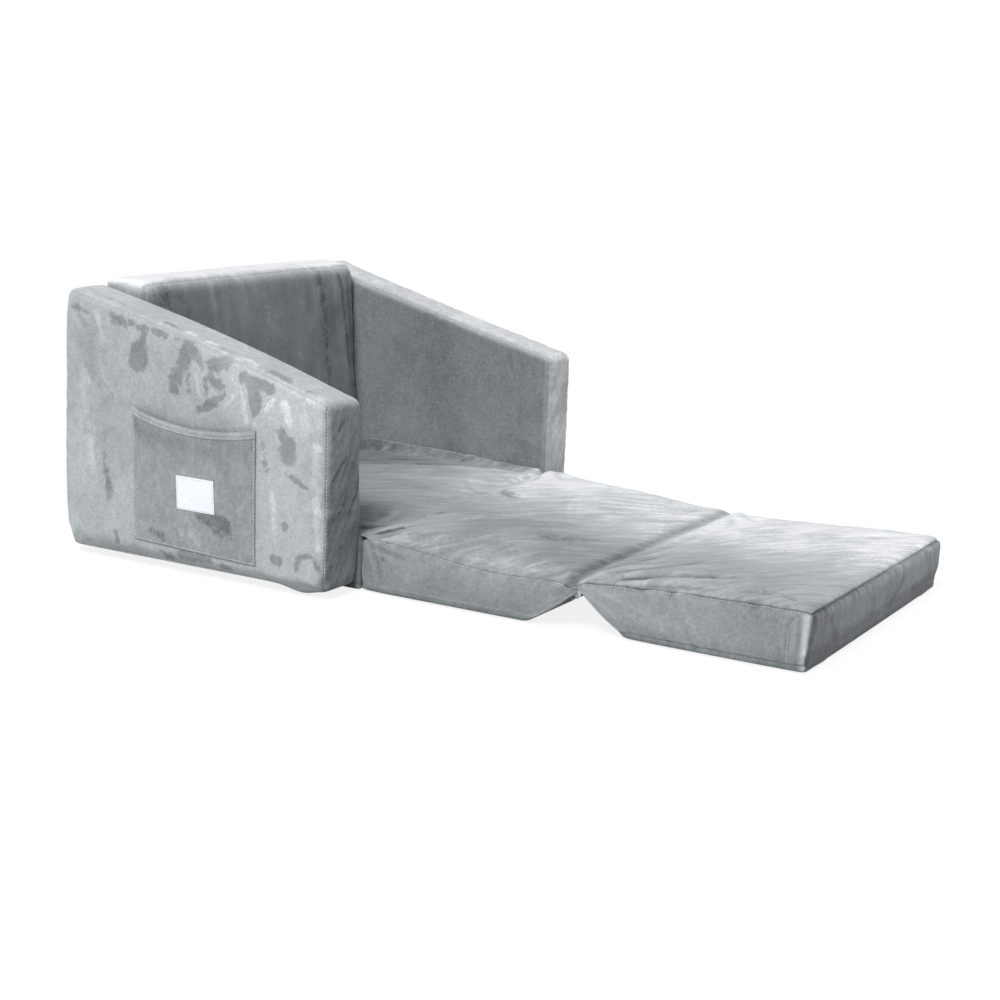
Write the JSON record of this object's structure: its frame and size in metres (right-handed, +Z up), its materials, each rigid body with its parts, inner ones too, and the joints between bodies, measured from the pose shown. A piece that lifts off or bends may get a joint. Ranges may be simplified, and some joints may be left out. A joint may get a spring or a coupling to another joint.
{
  "type": "sofa bed",
  "caption": "Child-size foam sofa bed with zip-off plush covers: sloping arm panels and a back around a base cushion, and a hinged mattress that flips out in front.",
  "frame": {"origin": "on the floor under the middle of the sofa, on the underside of the base cushion", "axes": "+Z up, +Y to the back of the sofa, +X to the sitter's left, which is the side without the pocket; the mattress opens towards -Y"},
  "size_m": [0.7999, 1.2534, 0.4472],
  "materials": {
    "plush": "matte",
    "foam": "matte",
    "zip_tape": "matte",
    "zip_metal": "satin",
    "label_cloth": "satin"
  },
  "bodies": {
    "sofa": {"left_arm_cover": "plush", "left_arm_foam": "foam", "left_arm_zip": "zip_tape", "left_arm_pocket": "plush", "left_arm_pocket_hem": "plush", "left_arm_label": "label_cloth", "right_arm_cover": "plush", "right_arm_foam": "foam", "right_arm_zip": "zip_tape", "back_cover": "plush", "back_foam": "foam", "back_zip": "zip_tape", "base_cover": "plush", "base_foam": "foam", "base_zip": "zip_tape", "base_middle_hinge": "plush"},
    "middle": {"middle_cover": "plush", "middle_foam": "foam", "middle_zip": "zip_tape", "middle_foot_hinge": "plush"},
    "foot": {"foot_cover": "plush", "foot_foam": "foam", "foot_zip": "zip_tape"},
    "left_arm_slider": {"left_arm_zip_slider": "zip_metal"},
    "right_arm_slider": {"right_arm_zip_slider": "zip_metal"},
    "back_slider": {"back_zip_slider": "zip_metal"},
    "base_slider": {"base_zip_slider": "zip_metal"},
    "middle_slider": {"middle_zip_slider": "zip_metal"},
    "foot_slider": {"foot_zip_slider": "zip_metal"}
  },
  "joints": [
    {"name": "bed_flip", "type": "hinge", "parent": "sofa", "child": "middle", "pos_m": [0, -0.262, 0.101], "axis": [-1, 0, 0], "range_deg": [0, 179], "deforming": ["base_middle_hinge"]},
    {"name": "bed_fold", "type": "hinge", "parent": "middle", "child": "foot", "pos_m": [0, -0.637, 0.061], "axis": [1, 0, 0], "range_deg": [0, 89.5], "deforming": ["middle_foot_hinge"]},
    {"name": "left_arm_zip_slide", "type": "slide", "parent": "sofa", "child": "left_arm_slider", "axis": [0, 0, 1], "range_m": [0, 0.27]},
    {"name": "right_arm_zip_slide", "type": "slide", "parent": "sofa", "child": "right_arm_slider", "axis": [0, 0, 1], "range_m": [0, 0.27]},
    {"name": "back_zip_slide", "type": "slide", "parent": "sofa", "child": "back_slider", "axis": [1, 0, 0], "range_m": [0, 0.47]},
    {"name": "base_zip_slide", "type": "slide", "parent": "sofa", "child": "base_slider", "axis": [1, 0, 0], "range_m": [0, 0.46]},
    {"name": "middle_zip_slide", "type": "slide", "parent": "middle", "child": "middle_slider", "axis": [1, 0, 0], "range_m": [0, 0.46]},
    {"name": "foot_zip_slide", "type": "slide", "parent": "foot", "child": "foot_slider", "axis": [1, 0, 0], "range_m": [0, 0.46]}
  ],
  "couplings": [
    {"joint": "bed_fold", "follows": "bed_flip", "ratio": 0.5}
  ]
}
